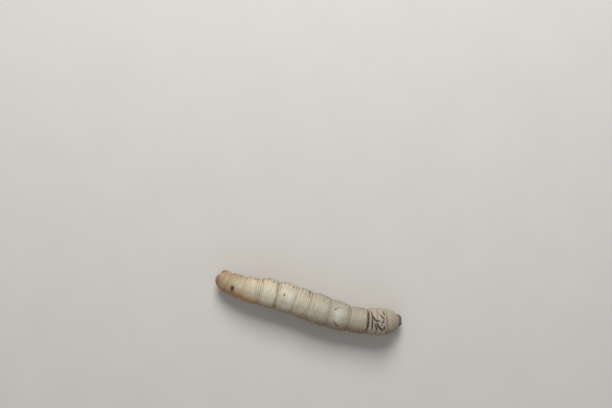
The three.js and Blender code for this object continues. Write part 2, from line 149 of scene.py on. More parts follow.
def ease(value, low, high):
    t = np.clip((value - low) / (high - low), 0, 1)
    return t * t * (3 - 2 * t)


def body_point(distance, turn, out):
    """The point at a turn from the back, in degrees, raised from the plain oval section."""
    _, left, back = directions(distance)
    width = half_width(distance)
    angle = np.radians(turn)
    rise = np.where(np.cos(angle) > 0, BACK_RISE, BELLY_DROP)
    across = (width + out) * np.sin(angle)
    up = (width * rise + out) * np.cos(angle)
    return middle_at(distance) + left * across[..., None] + back * up[..., None]


def straightened(distance, turn):
    """Places of the skin as if the body lay straight, which patterns and folds are laid out on."""
    width = half_width(distance)
    angle = np.radians(turn)
    return np.stack([distance, width * np.sin(angle), width * np.cos(angle)], -1)


def ripple(places, scale, shift=0.0):
    """Smooth noise between -1 and 1, finer or longer along each direction by its scale."""
    moved = places * np.array(scale) + shift
    return np.array([noise.noise(Vector(place)) for place in moved])


# How dark and deep the crease in front of each ring is, from the tail to the head; the darkness is partly brown
# pigment and partly painted shade.
CREASE_STRENGTH = [0.3, 0.3, 0.22, 0.62, 1.0, 0.6, 0.5, 0.4, 0.75, 1.0, 0.65, 0.55]
CREASE_DEPTH = 0.27
CREASE_LINE_DEPTH = 0.17
SIDE_FOLD = 0.22
SIDE_FOLD_ANGLE = 108
SWELL = 0.1
FINE_FOLDS = [0.09, 0.2, 0.31, 0.42, 0.54, 0.66, 0.78, 0.89]
FINE_FOLD_DEPTH = [0.13, 0.08, 0.1, 0.07, 0.12, 0.08, 0.09, 0.11]
# Deeper, darker folds of single rings, the darkness partly pigment and partly painted shade: how far along, and how
# strong.
STRONG_FOLDS = {
    "abdomen_07": [(0.12, 0.4), (0.86, 0.6)],
    "abdomen_06": [(0.1, 0.9), (0.2, 0.6), (0.84, 0.5), (0.93, 0.8)],
    "abdomen_05": [(0.1, 0.6), (0.86, 0.5)],
    "abdomen_04": [(0.22, 0.4), (0.62, 0.7), (0.75, 0.9), (0.88, 0.7)],
    "abdomen_03": [(0.14, 0.6), (0.55, 0.3), (0.88, 0.7)],
    "abdomen_02": [(0.72, 0.5), (0.86, 0.9), (0.94, 0.7)],
    "abdomen_01": [(0.14, 0.6), (0.3, 0.5), (0.47, 0.5), (0.63, 0.5), (0.8, 0.5)],
}
# Folds across the back behind the head: places along the body with their turn from the back, width and depth. Deeper
# folds are painted darker, partly pigment and partly painted shade.
BACK_FOLDS = [
    ([(47.85, 62), (47.86, 25), (47.96, 0), (47.88, -20), (47.72, -46)], 0.17, 0.2),
    ([(48.4, 56), (48.9, 30), (48.98, 8), (48.97, -8), (49.08, -24), (49.0, -44)], 0.16, 0.2),
    ([(49.0, 30), (49.42, 18), (49.72, 7), (50.32, 4), (51.02, 4.8), (51.3, 8)], 0.15, 0.22),
    ([(50.1, -3), (50.32, -8), (50.52, -18), (50.87, -25), (51.42, -32), (51.6, -44)], 0.19, 0.24),
    ([(49.6, 0), (49.67, -5), (49.82, -15), (50.17, -30), (50.3, -46)], 0.13, 0.16),
    ([(51.85, 54), (52.02, 41), (52.17, 26)], 0.13, 0.17),
    ([(51.1, 36), (51.42, 25), (51.72, 17.5), (52.22, 11)], 0.14, 0.2),
    ([(51.85, 11), (51.82, 5), (51.77, 0), (51.52, -4.2), (51.12, -2.8)], 0.14, 0.18),
    ([(52.05, -14), (52.02, -24), (51.95, -38)], 0.16, 0.18),
    ([(51.55, -9), (51.22, -18)], 0.13, 0.14),
    ([(50.3, 44), (50.7, 34), (50.75, 26)], 0.12, 0.09),
]
FRONT_FOLDS = [
    ([(52.76, 46), (52.74, 10), (52.77, -8), (52.84, -40)], 0.13, 0.16),
    ([(53.25, 40), (53.27, 10), (53.32, -8), (53.4, -36)], 0.11, 0.12),
    ([(54.0, 44), (54.1, 0), (54.1, -40)], 0.12, 0.07),
    ([(55.4, 60), (55.5, 0), (55.4, -60)], 0.13, 0.07),
    ([(56.25, 96), (56.35, 0), (56.25, -96)], 0.13, 0.1),
    ([(56.8, 150), (56.85, 0), (56.8, -150)], 0.11, 0.1),
]


# Turns of the folds and marks are made distances over the skin with this half width.
MEAN_HALF_WIDTH = 4.05


class Skin:
    """The relief and the markings of the skin at its own places, with painted shade darkening its creases and folds.
    """

    def __init__(self, distance, turn):
        self.distance = distance
        self.turn = turn
        self.side = np.abs(turn)
        self.lie = straightened(distance, turn)
        self.width = half_width(distance)
        self.round = np.radians(turn) * self.width
        self.wander = ripple(self.lie, (0.5, 0.45, 0.45))
        self.fine = ripple(self.lie, (1.6, 0.5, 0.5), 7.0)
        self.relief = np.zeros_like(distance)
        self.crease_pigment_and_shade = np.zeros_like(distance)
        self.add_creases()
        self.add_ring_folds()
        self.add_thorax_folds()
        self.add_leg_mounds()
        self.relief *= np.minimum(1, self.width / 2.5)

    def add_creases(self):
        for i, strength in enumerate(CREASE_STRENGTH, start=1):
            off = self.distance - STARTS[i] + 0.1 * self.wander
            line = hump(off, 0.13)
            depth = 0.5 + 0.5 * strength
            self.relief -= depth * (CREASE_DEPTH * hump(off, 0.5) + CREASE_LINE_DEPTH * line)
            # Each crease is painted dark: a thin brown pigment line and a broader band of painted shade.
            self.crease_pigment_and_shade += strength * (0.7 * hump(off, 0.1) + 0.2 * hump(off, 0.4))

    def add_ring_folds(self):
        on_side = hump(self.side - SIDE_FOLD_ANGLE, 26)
        groove = hump(self.side - 84, 9) + 0.8 * hump(self.side - 132, 8)
        more_below = 0.4 + 0.6 * ease(self.side, 25, 85)
        for i, name in enumerate(NAMES):
            share = (self.distance - STARTS[i]) / LENGTHS[i]
            inside = (share >= 0) & (share <= 1)
            kept = np.clip(share, 0, 1)
            if name.startswith("abdomen") and LENGTHS[i] > 4:
                self.relief += inside * SIDE_FOLD * on_side * np.sin(np.pi * kept**0.6)
                self.relief += inside * SWELL * (1 - (2 * kept - 1) ** 2)
                self.relief -= inside * 0.09 * groove * np.sin(np.pi * kept)
                for k, (at, depth) in enumerate(zip(FINE_FOLDS, FINE_FOLD_DEPTH)):
                    at = at + 0.018 * math.sin(5 * i + 3 * k)
                    off = (share - at) * LENGTHS[i] + 0.18 * self.wander + 0.1 * self.fine
                    strength = ease(self.fine + 0.5 * self.wander + 0.5 * more_below, -0.3, 0.4)
                    fold = inside * hump(off, 0.12) * more_below * strength
                    self.relief -= depth * fold
                    # The fine fold is also painted darker, partly pigment and partly painted shade.
                    self.crease_pigment_and_shade += 0.6 * fold
                for at, strength in STRONG_FOLDS.get(name, []):
                    off = (share - at) * LENGTHS[i] + 0.12 * self.wander
                    fold = inside * hump(off, 0.12) * strength * (0.55 + 0.45 * more_below)
                    self.relief -= 0.14 * fold
                    # The strong fold is also painted darker, partly pigment and partly painted shade.
                    self.crease_pigment_and_shade += 0.85 * fold
            elif name in ("abdomen_10", "abdomen_09"):
                self.relief += inside * 0.1 * self.fine
            else:
                self.relief += inside * 0.16 * on_side * np.sin(np.pi * kept)
                self.relief -= inside * 0.12 * groove * np.sin(np.pi * kept)
                for at in (0.3, 0.62):
                    off = (share - at) * LENGTHS[i] + 0.2 * self.wander + 0.012 * (self.side - 90)
                    fold = inside * hump(off, 0.15) * ease(self.side, 55, 80) * ease(150 - self.side, 0, 25)
                    self.relief -= 0.12 * fold
                    # The side fold is also painted darker, partly pigment and partly painted shade.
                    self.crease_pigment_and_shade += 0.35 * fold
        fine_rows = ripple(self.lie, (2.2, 0.7, 0.7), 3.0)
        self.relief += 0.05 * fine_rows * more_below + 0.025 * ripple(self.lie, (4.5, 2.2, 2.2), 9.0)

    def near_line(self, line, width, tip=0.35):
        """1 on a bent line over the back, fading out beside it, and narrower towards its ends."""
        spots = [(at, math.radians(turn) * MEAN_HALF_WIDTH) for at, turn in line]
        runs = [math.hypot(bx - ax, by - ay) for (ax, ay), (bx, by) in zip(spots, spots[1:])]
        nearest = np.full_like(self.distance, 99.0)
        share = np.zeros_like(self.distance)
        along_it, round_it = self.distance + 0.05 * self.wander, self.round + 0.12 * self.fine
        walked = 0.0
        for (ax, ay), (bx, by), run in zip(spots, spots[1:], runs):
            t = np.clip(((along_it - ax) * (bx - ax) + (round_it - ay) * (by - ay)) / run**2, 0, 1)
            off = np.hypot(along_it - ax - t * (bx - ax), round_it - ay - t * (by - ay))
            closer = off < nearest
            share = np.where(closer, (walked + t * run) / sum(runs), share)
            nearest = np.minimum(nearest, off)
            walked += run
        narrowing = tip + (1 - tip) * ease(np.minimum(share, 1 - share), 0, 0.3)
        return hump(nearest / narrowing, width) * (0.4 + 0.6 * narrowing)

    def add_thorax_folds(self):
        """Short bent folds across the back of the second and third rings behind the head, their grooves painted dark
        with pigment and painted shade.
        """
        on_back = ease(78 - self.side, 0, 34)
        inside = ease(self.distance, 47.9, 48.4) * ease(-self.distance, -52.7, -52.2)
        self.back_fold_pigment_and_shade = np.zeros_like(self.distance)
        for line, width, depth in BACK_FOLDS:
            self.relief -= 1.3 * depth * self.near_line(line, width * 1.3)
            # The grooves are painted dark: partly pigment, partly painted shade.
            self.back_fold_pigment_and_shade = np.maximum(self.back_fold_pigment_and_shade, self.near_line(line, width * 1.6) * depth / 0.19)
        self.pink = np.zeros_like(self.distance)
        for line, width, depth in FRONT_FOLDS:
            self.relief -= depth * self.near_line(line, width)
            self.pink = np.maximum(self.pink, self.near_line(line, width * 1.4, 0.1) * depth / 0.16)
        self.ridge = on_back * inside
        self.relief += 0.12 * self.ridge + 0.06 * self.ridge * self.fine
        self.plate = self.patch((0.9, 0), (1.55, 2.1))
        self.relief += 0.1 * ease(self.plate, 0.2, 0.55) - 0.06 * hump(self.plate - 0.3, 0.08)

    def add_leg_mounds(self):
        for ring in ("thorax_1", "thorax_2", "thorax_3"):
            i = NAMES.index(ring)
            forward = self.distance - MIDDLES[i]
            inward = np.radians(self.side - 140) * self.width
            self.relief += 0.36 * hump(np.hypot(forward, inward), 1.15)

    def patch(self, place, size):
        """A soft oval patch round one place of the back."""
        inward = self.round - math.radians(place[1]) * self.width
        return np.exp(-(((self.distance - place[0]) / size[0]) ** 2) - (inward / size[1]) ** 2)


# Dark marks of the back, each a short bent line with its width and strength.
MARKS = [
    ([(21.3, 24), (21.4, 36)], 0.21, 1.0),
    ([(21.0, -20), (21.25, -31)], 0.15, 0.9),
    ([(37.1, 27), (37.5, 35)], 0.3, 1.0),
    ([(37.5, 35), (38.0, 41), (38.6, 43), (39.1, 39), (39.35, 34)], 0.15, 0.75),
    ([(37.55, -15), (38.2, -27), (39.0, -38)], 0.19, 0.8),
    ([(38.4, -31), (39.1, -39), (39.8, -37)], 0.28, 0.95),
    ([(6.5, 51), (7.1, 52)], 0.26, 0.6),
    ([(12.2, 62), (12.9, 62)], 0.22, 0.35),
    ([(5.9, -2), (6.1, -14)], 0.5, 0.35),
]
PALE_PATCHES = [
    ((38.6, 3), (1.4, 2.4), 1.05),
    ((23.0, 22), (1.2, 1.7), 1.2),
    ((22.0, -26), (0.7, 1.0), 1.0),
    ((16.5, 0), (2.2, 3.0), 0.5),
    ((7.9, 14), (0.8, 1.1), 0.7),
    ((28.5, 10), (2.0, 2.2), 0.4),
    ((49.9, 24), (0.7, 1.4), 0.9),
    ((33.5, 12), (1.6, 2.2), 0.35),
]


def lengthwise(share):
    """Spreads the skin's rows, closer together where the folds behind the head are."""
    stops = np.array([0.0, 0.02, 0.675, 0.985, 1.0])
    places = np.array([0.0, 0.5, 47.0, BODY_LENGTH, BODY_LENGTH + 1.0])
    return np.interp(share, stops, places)


SKIN_ROWS = 400
SKIN_COLUMNS = 200

# False legs, each drawn out of the skin: where, how wide, and where the middle of the sole stands.
FALSE_LEG = {"turn": 142.0, "reach": 2.15, "foot_out": 2.45, "foot_back": 0.2}
FALSE_LEG_RADII = [2.0, 1.68, 1.5, 1.32, 1.14, 1.02, 1.0, 1.08, 1.04]
CLASPER = {"turn": 138.0, "reach": 1.85, "foot_out": 1.4, "foot_back": 0.8}
CLASPER_RADII = [1.7, 1.45, 1.3, 1.16, 1.04, 0.96, 0.92, 1.0, 0.98]


def false_legs():
    """Each false leg's place along the body, turn, reach, foot, radii, and its way in to the middle."""
    places = [(MIDDLES[NAMES.index(f"abdomen_0{number}")], FALSE_LEG, FALSE_LEG_RADII) for number in (3, 4, 5, 6)]
    places.append((2.7, CLASPER, CLASPER_RADII))
    for at, leg, radii in places:
        roll = float(along(ROLL, np.array([at]))[0])
        forward, left, _ = (axis[0] for axis in directions(np.array([at]), level=True))
        for side in (1, -1):
            foot = middle_at(np.array([at]))[0] + left * leg["foot_out"] * side - forward * leg["foot_back"]
            foot[2] = 0.0
            yield at, leg["turn"] * side - roll / 2, leg["reach"], foot, radii, -left * side


def draw_out_leg(skin, points, foot_share, at, turn, reach, foot, radii):
    """Draws the skin within reach of a place out into a leg with a flat sole on the floor."""
    at = np.array([at])
    forward, left, back = (axis[0] for axis in directions(at))
    level_forward, level_left, _ = (axis[0] for axis in directions(at, level=True))
    width = float(half_width(at)[0])
    angle = math.radians(turn)
    root = body_point(at, np.array([turn]), np.zeros(1))[0]
    round_way = left * math.cos(angle) - back * math.sin(angle)
    outward = left * math.sin(angle) + back * math.cos(angle)
    level_forward = level_forward * np.array([1, 1, 0])
    level_forward /= np.linalg.norm(level_forward)

    along_skin = skin.distance - at[0]
    round_skin = np.radians(skin.turn - turn) * width
    away = np.hypot(along_skin, round_skin)
    near = away < reach
    inward = 1 - away[near] / reach
    ways = np.stack([along_skin, round_skin], -1)[near] / np.maximum(away[near], 1e-9)[:, None]

    sole_from = 0.66
    down = np.clip(inward / sole_from, 0, 1)
    knee = root + (foot - root) * 0.45 + outward * 0.1
    bend = 2 * knee - (root + foot) / 2
    centre = (
        root * ((1 - down) ** 2)[:, None]
        + bend * (2 * down * (1 - down))[:, None]
        + foot * (down**2)[:, None]
    )
    mix = ease(down, 0, 0.7)[:, None]
    first = forward * (1 - mix) + level_forward * mix
    second = round_way * (1 - mix) - level_left * mix
    radius = np.interp(down, np.linspace(0, 1, len(radii)), radii)
    folds = ripple(points[near], (0.5, 0.5, 1.5), 2.0)
    radius = radius + 0.09 * folds * np.sin(np.pi * down) + 0.03 * np.sin(down * 30) * np.sin(np.pi * down)
    sole = np.clip((1 - inward) / (1 - sole_from), 0, 1)
    on_sole = inward > sole_from
    radius = np.where(on_sole, radii[-1] * sole, radius)
    column = centre + (first * ways[:, :1] + second * ways[:, 1:]) * radius[:, None]
    rounding = 0.28 * ease(sole, 0.72, 1.0) ** 2
    column[:, 2] = np.where(on_sole, rounding, np.maximum(column[:, 2], 0.28 * ease(down, 0.8, 1.0)))
    keep = ease(down, 0, 0.42)[:, None]
    points[near] = points[near] * (1 - keep) + column * keep
    skin.lie[near, 2] -= 2.2 * down * ease(down, 0, 0.5)
    foot_share[near] = np.maximum(foot_share[near], down + 0.6 * on_sole * (1 - sole))


def mesh_of(name, sheet):
    mesh = bpy.data.meshes.new(name)
    sheet.to_mesh(mesh)
    sheet.free()
    return mesh


def new_grid(name, rows, columns):
    """A flat sheet of faces, with the share along it and round it at each of its points."""
    sheet = bmesh.new()
    bmesh.ops.create_grid(sheet, x_segments=rows, y_segments=columns, size=1.0)
    mesh = mesh_of(name, sheet)
    return mesh, (read_points(mesh)[:, 0] + 1) / 2, (read_points(mesh)[:, 1] + 1) / 2


def read_points(mesh):
    flat = np.empty(len(mesh.vertices) * 3)
    mesh.vertices.foreach_get("co", flat)
    return flat.reshape(-1, 3)


def write_points(mesh, points):
    mesh.vertices.foreach_set("co", (points * MM).ravel())
    mesh.update()


def write_value(mesh, name, values):
    kind = "FLOAT" if values.ndim == 1 else "FLOAT_VECTOR"
    layer = mesh.attributes.new(name, kind, "POINT")
    layer.data.foreach_set("value" if values.ndim == 1 else "vector", values.astype(np.float32).ravel())


def close_seams(mesh, distance=0.004):
    """Joins the points that meet along a seam or at a pole."""
    sheet = bmesh.new()
    sheet.from_mesh(mesh)
    bmesh.ops.remove_doubles(sheet, verts=sheet.verts, dist=distance * MM)
    for face in sheet.faces:
        face.smooth = True
    sheet.to_mesh(mesh)
    sheet.free()


def finish_piece(name, mesh, paint, replaced=()):
    made = bpy.data.objects.new(name, mesh)
    bpy.context.collection.objects.link(made)
    mesh.materials.append(paint)
    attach(made, "root")
    if replaced:
        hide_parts(*replaced)
    return made


def make_skin(paint):
    mesh, share, round_share = new_grid("skin", SKIN_ROWS, SKIN_COLUMNS)
    distance = lengthwise(share)
    turn = round_share * 360 - 180
    beyond = np.clip(distance - BODY_LENGTH, 0, 1)
    distance = np.minimum(distance, BODY_LENGTH)
    skin = Skin(distance, turn)
    points = body_point(distance, turn, skin.relief)
    # The front end turns in to the neck, where the head covers it.
    closing = 1 - beyond
    neck = middle_at(distance) + directions(distance)[0] * (0.35 * np.sin(beyond * np.pi / 2))[:, None]
    front = beyond > 0
    points[front] = (neck + (points - middle_at(distance)) * closing[:, None])[front]
    # The very tip of the tail.
    tip = share <= 0
    points[tip] = middle_at(np.zeros(1))[0]

    foot_share = np.zeros_like(distance)
    for at, turn_at, reach, foot, radii, _ in false_legs():
        draw_out_leg(skin, points, foot_share, at, turn_at, reach, foot, radii)

    points[:, 2] = np.maximum(points[:, 2], 0.0)
    write_points(mesh, points)
    marks = sum(strength * skin.near_line(line, width, 0.5) for line, width, strength in MARKS)
    pale = sum(strength * skin.patch(place, size) for place, size, strength in PALE_PATCHES)
    # Flank mask: brown pigment low on the left flank; on the right, painted shade that darkens the whole right side
    # from near the middle of the back.
    painted_right_shade = 0.85 * ease(skin.side, 2, 68) + 0.15 * ease(skin.side, 60, 110)
    tail = ease(skin.plate + 0.06 * skin.fine, 0.1, 0.9) * 0.9 + skin.patch((2.2, 26), (1.3, 1.0)) * 0.45
    ochre = 1.3 * skin.patch((9.6, -80), (6.4, 3.4)) + 0.7 * skin.patch((24.0, -92), (11.0, 2.2))
    plain = {
        "lie": skin.lie * np.column_stack([np.ones_like(closing), closing, closing]),
        "flank_and_painted_shade": np.where(turn < 0, painted_right_shade, ease(skin.side, 64, 128)),
        "foot": np.clip(foot_share, 0, 1.6),
        "rear": ease(-distance, -13.0, -4.0),
        "front": ease(distance, 19.0, 38.0),
        "middle_line": np.abs(skin.round),
        "straw": ease(skin.side, 58, 80) * ease(-skin.side, -128, -104) * ease(distance, 47.5, 48.6),
        "green": skin.patch((54.7, -18), (0.9, 1.5)) + 0.5 * skin.patch((50.3, 14), (1.2, 1.4)),
        "rose": skin.patch((56.9, -22), (0.5, 0.7)),
    }
    held = {
        "crease_pigment_and_shade": skin.crease_pigment_and_shade, "mark": marks, "back_fold_pigment_and_shade": skin.back_fold_pigment_and_shade, "ridge": skin.ridge, "pink": skin.pink,
        "tail": tail, "pale": pale, "ochre": ochre + 0.35 * skin.patch((7.0, 96), (6.0, 2.4)),
    }
    for name, values in plain.items():
        write_value(mesh, name, values)
    for name, values in held.items():
        write_value(mesh, name, np.clip(values, 0, 1))
    close_seams(mesh)
    flesh = NAMES + [f"proleg_{number}_{side}" for number in ("03", "04", "05", "06") for side in ("left", "right")]
    flesh += ["clasper_left", "clasper_right"]
    return finish_piece("skin", mesh, paint, flesh)


def skin_place(distance, turn):
    """One place on the skin, with its ways out, forward and round."""
    at, turns = distance + np.array([0, 0.2, 0]), turn + np.array([0, 0, 3.0])
    points = body_point(at, turns, np.full(3, Skin(at[:1], turns[:1]).relief[0]))
    forward, around = points[1] - points[0], points[2] - points[0]
    forward, around = forward / np.linalg.norm(forward), around / np.linalg.norm(around)
    return points[0], np.cross(forward, around), forward, around


def bent_line(first, middle, last, shares):
    """Points of one smooth bend through three places, with the way it runs."""
    bend = 2 * middle - (first + last) / 2
    t = shares[:, None]
    line = first * (1 - t) ** 2 + bend * 2 * t * (1 - t) + last * t**2
    run = 2 * ((bend - first) * (1 - t) + (last - bend) * t)
    return line, run / np.linalg.norm(run, axis=1, keepdims=True)


def limb_points(share, round_share, places, hint, radius):
    """Points round a bent limb. The radius is a function of the share along it and the turn round it."""
    line, run = bent_line(*places, share)
    across = hint - run * (run @ hint)[:, None]
    across /= np.linalg.norm(across, axis=1, keepdims=True)
    other = np.cross(run, across)
    angle = round_share * 2 * np.pi
    size = radius(share, angle)[:, None]
    return line + (across * np.cos(angle)[:, None] - other * np.sin(angle)[:, None]) * size


def steps(pairs):
    """A radius that runs through pairs of share and size."""
    shares, sizes = np.array(pairs).T
    return lambda share, angle: np.interp(share, shares, sizes)


def make_limb(name, rows, columns, places, hint, radius, paint, replaced=(), transform=None):
    mesh, share, round_share = new_grid(name, rows, columns)
    points = limb_points(share, round_share, places, hint, radius)
    if transform is not None:
        points = points @ transform[:3, :3].T + transform[:3, 3]
    write_points(mesh, points)
    write_value(mesh, "share", share)
    close_seams(mesh, 0.002)
    return finish_piece(name, mesh, paint, replaced)


# The horn's root, its way up and its size.
HORN = {"at": 0.45, "length": 2.2, "lean": -0.15, "aside": 0.25}
HORN_SIZES = [
    (0, 0.0), (0.01, 0.7), (0.15, 0.63), (0.3, 0.5), (0.5, 0.4), (0.7, 0.31), (0.88, 0.22), (0.96, 0.14), (1, 0),
]


def make_horn(paint):
    i = NAMES.index("abdomen_08")
    at = np.array([STARTS[i] + HORN["at"] * LENGTHS[i]])
    forward, left, back = (axis[0] for axis in directions(at))
    root = body_point(at, np.zeros(1), np.array([-0.7]))[0]

    def rising(share, curl):
        lean = forward * HORN["lean"] + left * HORN["aside"]
        return root + back * share * (HORN["length"] + 0.7) - lean * curl

    plain = steps(HORN_SIZES)

    def radius(share, angle):
        rings = 0.022 * np.sin(share * 75 + 0.8 * np.sin(angle)) * np.sin(np.pi * share)
        return np.maximum(plain(share, angle) + rings * (share < 0.93), 0)

    places = (rising(0, 0), rising(0.5, 0.9), rising(1, 2.45))
    make_limb("tail_horn", 60, 28, places, forward, radius, paint, ["horn"])


# The six true legs: where each leaves its ring, and where its foot stands or hangs.
TRUE_LEGS = {
    "thorax_3": {"turn": 140, "at": 0.5, "foot_out": 1.85, "foot_ahead": 0.75, "lifted": 0.75},
    "thorax_2": {"turn": 142, "at": 0.5, "foot_out": 1.6, "foot_ahead": 0.85, "lifted": 0.7},
    "thorax_1": {"turn": 146, "at": 0.4, "foot_out": 1.3, "foot_ahead": 1.0, "lifted": 0.6},
}
TRUE_LEG_SIZES = [
    (0, 0), (0.02, 0.9), (0.16, 0.98), (0.3, 0.88), (0.37, 0.72), (0.385, 0.64), (0.41, 0.7), (0.5, 0.68),
    (0.59, 0.55), (0.605, 0.49), (0.63, 0.54), (0.71, 0.5), (0.775, 0.4), (0.79, 0.35), (0.81, 0.39),
    (0.87, 0.34), (0.93, 0.25), (0.97, 0.17), (1, 0),
]


def make_true_legs(leg_paint, claw_paint):
    plain = steps(TRUE_LEG_SIZES)

    def radius(share, angle):
        return plain(share, angle) * (1 + 0.03 * np.sin(3 * angle + 9 * share))

    claw_size = steps([(0, 0), (0.03, 0.16), (0.4, 0.12), (0.8, 0.06), (1, 0)])
    for ring, leg in TRUE_LEGS.items():
        i = NAMES.index(ring)
        at = np.array([STARTS[i] + leg["at"] * LENGTHS[i]])
        forward, left, _ = (axis[0] for axis in directions(at, level=True))
        for side_name, side in (("left", 1), ("right", -1)):
            root = body_point(at, np.array([float(leg["turn"] * side)]), np.array([-0.7]))[0]
            foot = middle_at(at)[0] + left * leg["foot_out"] * side + forward * leg["foot_ahead"]
            foot[2] = 0.3 if side > 0 else leg["lifted"] + 0.3
            knee = root + (foot - root) * 0.55 + left * 0.5 * side + forward * 0.3
            name = f"{ring[-1]}_{side_name}"
            make_limb(
                f"true_leg_{name}", 72, 24, (root, knee, foot), forward, radius, leg_paint, [f"leg_{name}"]
            )
            run = (foot - knee) / np.linalg.norm(foot - knee)
            start = foot - run * 0.16
            tip = foot + np.array([0, 0, -0.29]) - left * 0.12 * side
            middle = (start + tip) / 2 + forward * 0.06 + left * 0.08 * side
            make_limb(f"claw_{name}", 14, 12, (start, middle, tip), forward, claw_size, claw_paint)


BREATHING_RINGS = ["thorax_1"] + [f"abdomen_0{n}" for n in range(1, 9)]


def make_breathing_holes(paint):
    """Oval buttons with a raised rim and a dark slit, along both sides."""
    meshes = []
    for ring in BREATHING_RINGS:
        i = NAMES.index(ring)
        for side in (1, -1):
            distance = STARTS[i] + 0.7 * LENGTHS[i]
            centre, outward, forward, around = skin_place(distance, 76.0 * side)
            mesh, share, round_share = new_grid("hole", 7, 14)
            angle = round_share * 2 * np.pi
            height = np.interp(share, [0, 0.3, 0.5, 0.72, 1.0], [0.03, 0.045, 0.1, 0.11, -0.14])
            points = (
                centre
                + np.outer(0.3 * share * np.cos(angle), forward)
                + np.outer(0.44 * share * np.sin(angle), around)
                + np.outer(height, outward)
            )
            write_points(mesh, points)
            write_value(mesh, "share", share)
            close_seams(mesh, 0.002)
            meshes.append(mesh)
    finish_piece("breathing_holes", joined("breathing_holes", meshes), paint)


def joined(name, meshes):
    """One mesh made of several."""
    whole = bmesh.new()
    for mesh in meshes:
        whole.from_mesh(mesh)
        bpy.data.meshes.remove(mesh)
    return mesh_of(name, whole)


# The head's own frame: +X out of the face, +Y to its left, +Z to its crown.
HEAD = {"ahead": 0.72, "drop": 0.42, "face_down": -2}
LOBES = [((0, 0.6, 0), (1.3, 1.22, 1.72)), ((0, -0.6, 0), (1.3, 1.22, 1.72))]
SHIELD = ((0.72, 0, -0.85), (0.62, 0.8, 0.75))
HEAD_CENTRE = np.array([0.1, 0.0, -0.3])


def head_frame():
    at = np.array([BODY_LENGTH])
    forward, left, back = (axis[0] for axis in directions(at))
    place = middle_at(at)[0] + forward * HEAD["ahead"] - back * HEAD["drop"]
    turned = np.stack([forward, left, back], -1) @ np.array(Matrix.Rotation(math.radians(HEAD["face_down"]), 3, "Y"))
    frame_matrix = np.eye(4)
    frame_matrix[:3, :3] = turned
    frame_matrix[:3, 3] = place
    return frame_matrix


def reach_of(ways, centre, half):
    """How far from the head's centre each way leaves an oval."""
    half = np.array(half)
    start = (HEAD_CENTRE - np.array(centre)) / half
    way = ways / half
    a = (way**2).sum(1)
    b = way @ start
    c = start @ start - 1
    return (-b + np.sqrt(np.maximum(b * b - a * c, 0))) / a


def in_frame(points, matrix):
    return points @ matrix[:3, :3].T + matrix[:3, 3]


def new_ball(name, fineness):
    ball = bmesh.new()
    bmesh.ops.create_icosphere(ball, subdivisions=fineness, radius=1.0)
    for face in ball.faces:
        face.smooth = True
    mesh = mesh_of(name, ball)
    return mesh, read_points(mesh)


def capsule_surface(ways):
    reach = np.stack([reach_of(ways, *oval) for oval in LOBES + [SHIELD]], -1)
    soft = np.log(np.exp(reach * 9).sum(-1) - 1.4) / 9
    return HEAD_CENTRE + ways * np.minimum(soft, reach.max(-1) + 0.06)[:, None]


def make_head(matrix, paint):
    mesh, ways = new_ball("head_capsule", 6)
    points = capsule_surface(ways)
    y, z = np.abs(points[:, 1]), points[:, 2]
    facing = ease(ways[:, 0], -0.1, 0.35)
    crown = hump(points[:, 1], 0.075) * ease(z, 0.2, 0.42)
    slant = 0.66 * (0.4 - z) / 1.8
    inner = hump(y - slant, 0.05) * ease(0.45 - z, 0, 0.15) * facing
    outer = hump(y - slant - 0.17, 0.04) * ease(0.62 - z, 0, 0.15) * facing
    grooves = np.clip(crown + inner + 0.6 * outer, 0, 1)
    dimples = ripple(points, (3.2, 3.2, 3.2), 5.0)
    points = points - ways * (0.075 * grooves)[:, None] + ways * (0.02 * dimples)[:, None]
    write_points(mesh, in_frame(points, matrix))
    write_value(mesh, "place", points)
    write_value(mesh, "groove", grooves)
    finish_piece("head_capsule", mesh, paint, ["head"])


def oval_points(ways, centre, half):
    return np.array(centre) + ways * np.array(half)


